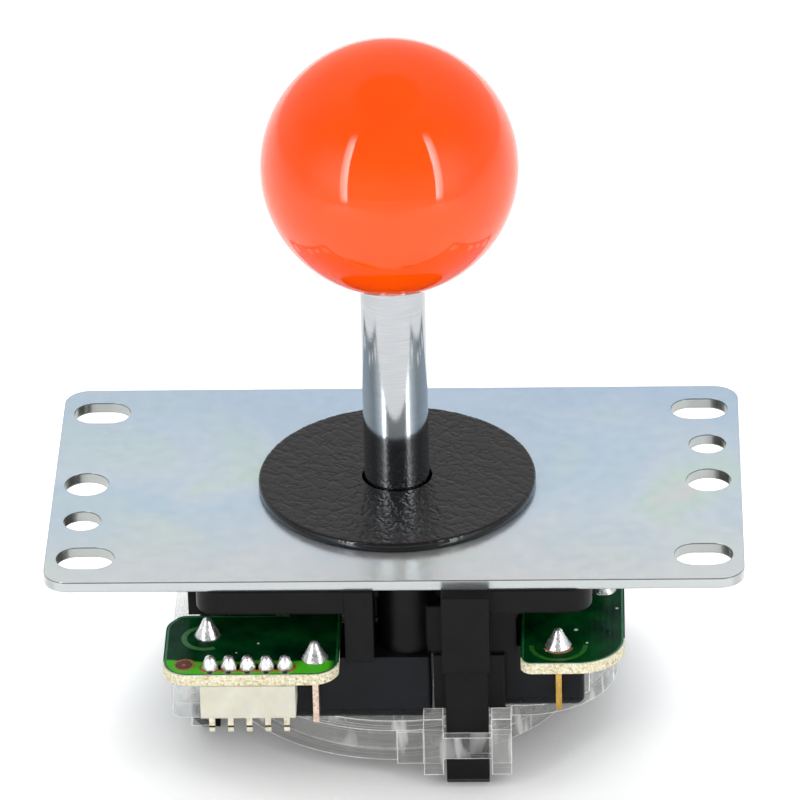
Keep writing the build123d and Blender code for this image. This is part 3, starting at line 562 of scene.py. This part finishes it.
def joined(name, shapes):
    """One mesh from several shapes of (points, faces)."""
    points, faces = [], []
    for shape_points, shape_faces in shapes:
        start = len(points)
        points += shape_points
        faces += [tuple(start + i for i in face) for face in shape_faces]
    return mesh_of(name, points, faces)


def turned(place, angle):
    """A place in the plane, turned about the lever's axis."""
    x, y = place
    return x * cos(angle) - y * sin(angle), x * sin(angle) + y * cos(angle)


solder_shapes = []
for seed, angle in enumerate(SIDE_TURNS.values()):
    solder_shapes.append(solder_cone(*turned(NO_TAIL, angle), NO_SEED + seed, **TAIL_CONE))
    solder_shapes.append(solder_cone(*turned(COM_TAIL, angle), COM_SEED + seed, **TAIL_CONE))
for seed, place in enumerate(PIN_PLACES):
    solder_shapes.append(solder_cone(*place, PIN_SEED + seed, **PIN_CONE))
solder_piece = new_piece("solder_blobs", joined("solder_blobs", solder_shapes), solder_look, "housing")
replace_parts(solder_piece, "solder_joints")


# Layers on the board: copper rings, bright arcs where the mask has no copper under it, small white dots.
# Each layer lies a little higher than the one that it crosses.

MASK_RISE = 0.01
RING_RISE = 0.012
PAD_RISE = 0.015
MARK_RISE = 0.02
ARC_STEPS = 28
DOT_STEPS = 12


def arc(x, y, inner, outer, start, end, rise, steps=ARC_STEPS):
    """A flat piece of a ring, from one angle in degrees to the other, rise above the board's top."""
    points, faces = [], []
    for i in range(steps + 1):
        angle = radians(start + (end - start) * i / steps)
        for radius in (inner, outer):
            points.append(((x + radius * cos(angle)) * MM, (y + radius * sin(angle)) * MM,
                           (BOARD_TOP + rise) * MM))
    for i in range(steps):
        faces.append((2 * i, 2 * i + 1, 2 * i + 3, 2 * i + 2))
    return points, faces


def full_ring(x, y, inner, outer, rise, steps=ARC_STEPS):
    """A whole flat ring on the board, which is a disc where inner is 0."""
    return arc(x, y, inner, outer, 0, 360, rise, steps)


def flat_look(name, dark, light, roughness):
    """A thin printed or plated layer with a slightly uneven colour."""
    look = Look(name, IOR=1.5, Roughness=roughness)
    mottle = look.noise(0.6 * MM, detail=3)
    look.feed("Base Color", look.ramp(mottle, (0.3, colour(*dark)), (0.7, colour(*light))))
    look.feed("Normal", look.bump(look.noise(0.4 * MM), 0.01 * MM))
    return look


PAD = (-28.3, -29.95)
PAD_HOLE = (PAD[0] - 0.15, PAD[1])
RIGHT_CONE = turned(COM_TAIL, SIDE_TURNS["right"])
# The dark patch in front of each pin's joint
SHADE_GAP = 1.35
SHADE_R = 0.36
# Place and radius of each white mark
MARKS = [
    (24.6, -21.5, 0.3),
    (30.2, -15.9, 0.22),
    (26.1, -24.9, 0.2),
    (20.6, -26.9, 0.16),
    (-18.6, -24.5, 0.18),
    (-21.5, -26.9, 0.15),
]
bright_mask_look = flat_look("mask_bright", (30, 92, 26), (54, 118, 36), 0.3)
copper_look = flat_look("copper_under_mask", (150, 88, 34), (186, 122, 62), 0.3)
rust_look = flat_look("bare_pad", (84, 22, 8), (112, 36, 14), 0.35)
white_dot_look = flat_look("white_dots", (214, 220, 212), (240, 244, 238), 0.5)
dark_look = flat_look("pin_shade", (6, 8, 6), (12, 14, 12), 0.6)
rim_look = flat_look("mask_rim", (20, 92, 50), (40, 122, 64), 0.3)
# Painted highlight: white along the board's front top edges
front_edge_highlight_look = flat_look("painted_edge_highlight", (226, 232, 214), (246, 248, 236), 0.6)

mask_arcs = [
    arc(-25.9, -23.0, 2.5, 3.25, 95, 300, MASK_RISE),
    arc(*RIGHT_CONE, 3.35, 4.0, 178, 362, MASK_RISE),
]
copper_rings = [full_ring(x, y, 0.4, 1.5, MASK_RISE) for x, y in PIN_PLACES]
copper_rings += [
    full_ring(*PAD, 1.2, 1.5, RING_RISE),
    full_ring(*PAD_HOLE, 0.0, 0.28, MARK_RISE),
    arc(*RIGHT_CONE, 1.8, 2.15, 200, 345, RING_RISE),
]
pin_shades = [full_ring(x, y - SHADE_GAP, 0.0, SHADE_R, MARK_RISE) for x, y in PIN_PLACES]
white_marks = [full_ring(x, y, 0.0, radius, MARK_RISE, DOT_STEPS) for x, y, radius in MARKS]
printed = {
    "mask_arcs": (bright_mask_look, mask_arcs),
    "copper_rings": (copper_look, copper_rings),
    "bare_pad": (rust_look, [full_ring(*PAD_HOLE, 0.26, 1.15, PAD_RISE)]),
    "pin_shades": (dark_look, pin_shades),
    "white_marks": (white_dot_look, white_marks),
}

# The board's rim: how far out an edge is an outer one, and the reach of a ribbon past its corners
OUTER_REACH = 17.0
RIBBON_OVERLAP = 0.02
SHORTEST_EDGE = 0.02
SAME_PLACE = 0.001
LEVEL_TOLERANCE = 0.01
# The least upward part of a top face's normal, and the least inward slope of a front edge
TOP_FACING = 0.9
FRONT_FACING = 0.05


def board_border(inset, width, rise, front_only=False):
    """A ribbon along the board's outer edge, from the top face of the board itself."""
    board = bmesh.new()
    board.from_mesh(nodes["circuit_board"].data)
    bmesh.ops.remove_doubles(board, verts=board.verts, dist=SAME_PLACE * MM)
    top = max(v.co.z for v in board.verts)
    is_top = {
        f for f in board.faces
        if f.normal.z > TOP_FACING and abs(f.calc_center_median().z - top) < LEVEL_TOLERANCE * MM
    }
    points, faces = [], []
    for edge in board.edges:
        shared = [f for f in edge.link_faces if f in is_top]
        if len(shared) != 1:
            continue
        middle = (edge.verts[0].co + edge.verts[1].co) / 2
        is_inner = max(abs(middle.x), abs(middle.y)) < OUTER_REACH * MM
        if is_inner or edge.calc_length() < SHORTEST_EDGE * MM:
            continue
        along = (edge.verts[1].co - edge.verts[0].co).normalized()
        inward = Vector((-along.y, along.x, 0))
        if inward.dot(shared[0].calc_center_median() - middle) < 0:
            inward = -inward
        if front_only and inward.y < FRONT_FACING:
            continue
        start = len(points)
        for v, out in ((edge.verts[0], -1), (edge.verts[1], 1)):
            for depth in (inset, inset + width):
                place = v.co + inward * depth * MM + along * out * RIBBON_OVERLAP * MM
                points.append((place.x, place.y, top + rise * MM))
        faces.append((start, start + 1, start + 3, start + 2))
    board.free()
    return points, faces


printed["board_rim"] = (rim_look, [board_border(0.16, 0.3, 0.006)])
# Painted highlight: a white band along the top of the board's front edges only
printed["board_rim_white"] = (front_edge_highlight_look, [board_border(0.0, 0.17, 0.009, front_only=True)])
for name, (look, shapes) in printed.items():
    new_piece(name, joined(name, shapes), look, "housing", smooth=False)


# Coil spring: a straight helix of wire below the pivot

SPRING_R = 4.55
SPRING_LOW = -20.35
SPRING_HIGH = -12.85
WIRE_R = 0.4
SPRING_TURNS = 5
COIL_STEPS = 260
WIRE_SPOKES = 10


def coil():
    """The wire as rings of points along the helix, closed at both ends."""
    points = []
    for i in range(COIL_STEPS):
        share = i / (COIL_STEPS - 1)
        angle = tau * SPRING_TURNS * share
        out = Vector((cos(angle), sin(angle), 0))
        centre = out * SPRING_R + Vector((0, 0, SPRING_LOW + (SPRING_HIGH - SPRING_LOW) * share))
        for k in range(WIRE_SPOKES):
            round_angle = tau * k / WIRE_SPOKES
            point = centre + (out * cos(round_angle) + Vector((0, 0, 1)) * sin(round_angle)) * WIRE_R
            points.append(tuple(point * MM))
    faces = ring_faces(COIL_STEPS, WIRE_SPOKES)
    faces.append(tuple(range(WIRE_SPOKES)))
    faces.append(tuple(reversed(range((COIL_STEPS - 1) * WIRE_SPOKES, COIL_STEPS * WIRE_SPOKES))))
    return mesh_of("coil", points, faces)


coil_piece = new_piece("coil", coil(), wire_look, None)
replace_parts(coil_piece, "spring")
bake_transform(coil_piece)


# Camera, at the place from which the photograph was taken

CAMERA_AZIMUTH = radians(2.03)
CAMERA_ELEVATION = radians(30.08)
CAMERA_ROLL = radians(-1.45)
CAMERA_DISTANCE = 952.7 * MM
FOCAL_PIXELS = 6891.0
ORIGIN_PIXEL = (397.3, 482.2)
IMAGE_PIXELS = 800
SENSOR = 36.0
CLIP_START = 0.01
CLIP_END = 100.0


def make_camera():
    """A camera whose axis goes through the image's centre, so that it needs no shift."""
    back = Vector((
        sin(CAMERA_AZIMUTH) * cos(CAMERA_ELEVATION),
        -cos(CAMERA_AZIMUTH) * cos(CAMERA_ELEVATION),
        sin(CAMERA_ELEVATION),
    ))
    right = Vector((cos(CAMERA_AZIMUTH), sin(CAMERA_AZIMUTH), 0))
    up = back.cross(right)
    turned_right = right * cos(CAMERA_ROLL) + up * sin(CAMERA_ROLL)
    turned_up = up * cos(CAMERA_ROLL) - right * sin(CAMERA_ROLL)
    across = (IMAGE_PIXELS / 2 - ORIGIN_PIXEL[0]) / FOCAL_PIXELS
    upward = (ORIGIN_PIXEL[1] - IMAGE_PIXELS / 2) / FOCAL_PIXELS
    forward = (turned_right * across + turned_up * upward - back).normalized()
    x_axis = forward.cross(turned_up).normalized()
    y_axis = x_axis.cross(forward)
    place = Matrix((x_axis, y_axis, -forward)).transposed().to_4x4()
    place.translation = back * CAMERA_DISTANCE
    data = bpy.data.cameras.new("camera")
    data.sensor_width = SENSOR
    data.lens = SENSOR * FOCAL_PIXELS / IMAGE_PIXELS
    data.clip_start = CLIP_START
    data.clip_end = CLIP_END
    camera = bpy.data.objects.new("camera", data)
    camera.matrix_world = place
    bpy.context.scene.collection.objects.link(camera)
    bpy.context.scene.camera = camera


make_camera()


# Stage: a white floor under the lever, a pale room, and soft boxes round it

FLOOR_SIZE = 4.0
FLOOR_WHITE = colour(250, 250, 250)
FLOOR_GLOW = 0.36
# Reach and darkest tone of the painted contact shadow, which darkens the floor's colour near the object
CONTACT_SHADOW_REACH = 0.013
CONTACT_SHADOW_TONE = 0.34
CONTACT_SAMPLES = 8


def make_floor():
    """A white floor with some glow of its own, so it looks white and still keeps the shadow.

    Both are darkened close to the object by an ambient-occlusion factor, a painted contact shadow on top of
    the shadow that the lights cast. The glow is there for what the camera, mirrors and glass see, and
    lights nothing.
    """
    half = FLOOR_SIZE / 2
    corners = [(x * half, y * half, cad_low.z) for x, y in ((-1, -1), (1, -1), (1, 1), (-1, 1))]
    mesh = mesh_of("floor", corners, [(0, 1, 2, 3)])
    look = Look("floor_white")
    links = look.tree.links
    contact_shadow = look.node("AmbientOcclusion", {"Distance": CONTACT_SHADOW_REACH}, samples=CONTACT_SAMPLES)
    open_share = look.between(contact_shadow.outputs["AO"], 0.0, 1.0, CONTACT_SHADOW_TONE, 1.0)
    tone = look.blend(open_share, colour(0, 0, 0), FLOOR_WHITE)
    rays = look.node("LightPath").outputs
    mirrored = look.math("MAXIMUM", rays["Is Glossy Ray"], rays["Is Transmission Ray"])
    seen = look.math("MAXIMUM", rays["Is Camera Ray"], mirrored)
    glow = look.node("Emission", {"Color": tone, "Strength": look.math("MULTIPLY", seen, FLOOR_GLOW)})
    diffuse = look.node("BsdfDiffuse", {"Color": tone})
    total = look.node("AddShader")
    links.new(diffuse.outputs[0], total.inputs[0])
    links.new(glow.outputs[0], total.inputs[1])
    links.new(total.outputs[0], look.tree.nodes["Material Output"].inputs["Surface"])
    floor = bpy.data.objects.new("floor", mesh)
    bpy.context.scene.collection.objects.link(floor)
    mesh.materials.append(look.material)


# Strength of the room's light in front, near the horizon and behind, and of a patch overhead
ROOM_FRONT = 0.32
ROOM_LOW = 0.85
ROOM_BACK = 0.76
CEILING_GAP = 0.3
# Each direction, and the cosines between which the light changes
BEHIND = ((0, 1, 0.35), -0.2, 0.75)
OVERHEAD = ((0, 0.06, 1), 0.88, 0.94)
ABOVE_HORIZON = ((0, 0, 1), 0.0, 0.55)


def make_room():
    """A pale room, brighter behind the object, with a dimmer patch overhead; the camera sees white."""
    world = bpy.data.worlds.new("room")
    bpy.context.scene.world = world
    world.use_nodes = True
    tree = world.node_tree
    tree.nodes.clear()
    direction = tree.nodes.new("ShaderNodeTexCoord").outputs["Generated"]

    def toward(vector, low, high):
        """1 where the direction is near the vector, and 0 away from it, with a soft edge."""
        dot = tree.nodes.new("ShaderNodeVectorMath")
        dot.operation = "DOT_PRODUCT"
        dot.inputs[1].default_value = Vector(vector).normalized()
        tree.links.new(direction, dot.inputs[0])
        soft = tree.nodes.new("ShaderNodeMapRange")
        soft.interpolation_type = "SMOOTHSTEP"
        soft.inputs["From Min"].default_value = low
        soft.inputs["From Max"].default_value = high
        tree.links.new(dot.outputs["Value"], soft.inputs["Value"])
        return soft.outputs["Result"]

    def lerp(share, first, second):
        """The first strength, or the second where the share is 1."""
        made = tree.nodes.new("ShaderNodeMix")
        tree.links.new(share, made.inputs[0])
        for index, value in ((2, first), (3, second)):
            if isinstance(value, float):
                made.inputs[index].default_value = value
            else:
                tree.links.new(value, made.inputs[index])
        return made.outputs[0]

    upper = lerp(toward(*BEHIND), ROOM_FRONT, ROOM_BACK)
    walls = lerp(toward(*ABOVE_HORIZON), ROOM_LOW, upper)
    lit = lerp(toward(*OVERHEAD), walls, CEILING_GAP)
    path = tree.nodes.new("ShaderNodeLightPath")
    strength = lerp(path.outputs["Is Camera Ray"], lit, 1.0)
    background = tree.nodes.new("ShaderNodeBackground")
    tree.links.new(strength, background.inputs["Strength"])
    output = tree.nodes.new("ShaderNodeOutputWorld")
    tree.links.new(background.outputs[0], output.inputs[0])


# Lights face the ball. Sizes are in metres, and a radiance of 1 is white.
BALL_CENTRE = Vector((0, 0, 0.04915))
STRIP_WIDTH = 0.045
STRIP_RADIANCE = 13.0
PANEL_WIDTH = 0.34
PANEL_RADIANCE = 1.3
# Side, and lower and upper end of each strip's inner edge, with the camera's azimuth taken as zero
STRIPS = {
    "left": (-1, (-0.168, -0.250, -0.029), (-0.262, -0.300, 0.400)),
    "right": (1, (0.180, -0.240, -0.029), (0.280, -0.290, 0.390)),
}
BACK_CENTRE = Vector((0, 0.75, 0.95))
BACK_SIZE = (1.2, 0.9)
BACK_RADIANCE = 5.2
FRONT_CENTRE = Vector((0, -1.3, 0.24))
FRONT_SIZE = (1.6, 0.6)
FRONT_RADIANCE = 1.5
# Shares of a light's length or width over which it fades
STRIP_LOW_FADE = 0.12
STRIP_HIGH_FADE = 0.25
STRIP_OUTER_TONE = 0.35
PANEL_LOW_FADE = 0.35
PANEL_HIGH_FADE = 0.5
SOFT_FADE = 0.25


def make_light(name, centre, upward, size, radiance, window, mirrored=True):
    """A soft box; window makes its strength from its tree and the place across and along it."""
    facing = (BALL_CENTRE - centre).normalized()
    across = facing.cross(upward).normalized()
    data = bpy.data.lights.new(name, "AREA")
    data.shape = "RECTANGLE"
    data.size, data.size_y = size
    data.energy = radiance * pi * size[0] * size[1]
    data.use_nodes = True
    tree = data.node_tree
    parts = tree.nodes.new("ShaderNodeSeparateXYZ")
    tree.links.new(tree.nodes.new("ShaderNodeNewGeometry").outputs["Parametric"], parts.inputs[0])
    strength = window(tree, parts.outputs[0], parts.outputs[1])
    tree.links.new(strength, tree.nodes["Emission"].inputs["Strength"])
    light = bpy.data.objects.new(name, data)
    turn = Matrix((across, across.cross(facing), -facing)).transposed().to_4x4()
    light.matrix_world = Matrix.Translation(centre) @ turn
    light.visible_glossy = mirrored
    bpy.context.scene.collection.objects.link(light)


def soft_step(tree, value, low, high, to_low=0.0, to_high=1.0):
    """A smooth step of a light's parametric place."""
    made = tree.nodes.new("ShaderNodeMapRange")
    made.interpolation_type = "SMOOTHSTEP"
    for name, number in (("From Min", low), ("From Max", high), ("To Min", to_low), ("To Max", to_high)):
        made.inputs[name].default_value = number
    tree.links.new(value, made.inputs["Value"])
    return made.outputs["Result"]


def product(tree, *values):
    """The product of some outputs."""
    result = values[0]
    for value in values[1:]:
        made = tree.nodes.new("ShaderNodeMath")
        made.operation = "MULTIPLY"
        tree.links.new(result, made.inputs[0])
        tree.links.new(value, made.inputs[1])
        result = made.outputs[0]
    return result


def make_lights():
    """A leaning strip with a dim panel outside it at each side, and fills behind and in front."""
    to_camera = Matrix.Rotation(CAMERA_AZIMUTH, 4, "Z")
    for name, (side, low, high) in STRIPS.items():
        low = to_camera @ Vector(low)
        high = to_camera @ Vector(high)
        lean = (high - low).normalized()
        middle = (low + high) / 2
        facing = (BALL_CENTRE - middle).normalized()
        across = facing.cross(lean).normalized()
        outward = across * (1 if across.x * side > 0 else -1)
        inner, outer = (0.0, 1.0) if across.x * side > 0 else (1.0, 0.0)
        length = (high - low).length

        def strip_window(tree, x, y):
            """Brightest along the inner edge, faded at both ends."""
            return product(tree, soft_step(tree, x, inner, outer, 1.0, STRIP_OUTER_TONE),
                           soft_step(tree, y, 0.0, STRIP_LOW_FADE),
                           soft_step(tree, y, 1.0, 1.0 - STRIP_HIGH_FADE))

        def panel_window(tree, x, y):
            """Faded away from the strip and toward both ends."""
            return product(tree, soft_step(tree, x, inner, outer, 1.0, 0.0),
                           soft_step(tree, y, 0.0, PANEL_LOW_FADE),
                           soft_step(tree, y, 1.0, 1.0 - PANEL_HIGH_FADE))

        make_light(f"strip_{name}", middle + outward * STRIP_WIDTH / 2, lean, (STRIP_WIDTH, length),
                   STRIP_RADIANCE, strip_window)
        make_light(f"panel_{name}", middle + outward * PANEL_WIDTH / 2, lean, (PANEL_WIDTH, length),
                   PANEL_RADIANCE, panel_window)

    def soft_window(tree, x, y):
        """Full in the middle, and faded toward all four edges."""
        return product(tree, soft_step(tree, x, 0.0, SOFT_FADE), soft_step(tree, x, 1.0, 1.0 - SOFT_FADE),
                       soft_step(tree, y, 0.0, SOFT_FADE), soft_step(tree, y, 1.0, 1.0 - SOFT_FADE))

    upward = Vector((0, 0, 1))
    make_light("back", BACK_CENTRE, upward, BACK_SIZE, BACK_RADIANCE, soft_window, mirrored=False)
    make_light("front", FRONT_CENTRE, upward, FRONT_SIZE, FRONT_RADIANCE, soft_window, mirrored=False)


make_floor()
make_room()
make_lights()

bpy.context.scene.view_settings.view_transform = "Standard"
